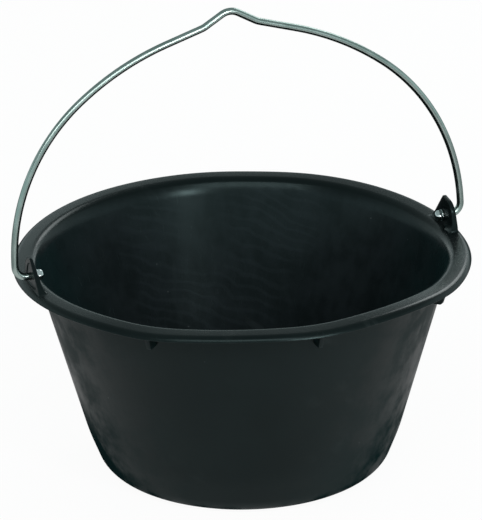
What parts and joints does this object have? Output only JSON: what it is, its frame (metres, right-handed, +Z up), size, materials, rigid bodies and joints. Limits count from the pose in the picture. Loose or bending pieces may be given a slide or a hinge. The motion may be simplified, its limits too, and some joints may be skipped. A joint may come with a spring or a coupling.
{
  "type": "cement bucket",
  "caption": "Round black moulded mortar bucket with a flanged rim, upright ears and a peaked wire bail that swings down to either side.",
  "frame": {"origin": "middle of the base, on the ground", "axes": "+Z up, +X along the bail's hinge line from the left ear to the right ear, +Y to the back, away from the picture's camera"},
  "size_m": [0.4724, 0.4502, 0.4638],
  "materials": {
    "tub_plastic": "black recycled polyethylene, semi-matt",
    "bail_wire": "galvanised wire, dull grey",
    "washer_steel": "zinc plated, satin"
  },
  "bodies": {
    "tub": {"tub": "tub_plastic"},
    "bail": {"bail": "bail_wire"},
    "left_washer": {"left_washer": "washer_steel"},
    "right_washer": {"right_washer": "washer_steel"}
  },
  "joints": [
    {"name": "bail_swing", "type": "hinge", "parent": "tub", "child": "bail", "pos_m": [0, 0, 0.227], "axis": [1, 0, 0], "range_deg": [-84, 96]},
    {"name": "left_washer_spin", "type": "hinge", "parent": "bail", "child": "left_washer", "pos_m": [-0.21195, 0, 0.227], "axis": [1, 0, 0], "continuous": true},
    {"name": "right_washer_spin", "type": "hinge", "parent": "bail", "child": "right_washer", "pos_m": [0.21195, 0, 0.227], "axis": [1, 0, 0], "continuous": true}
  ]
}
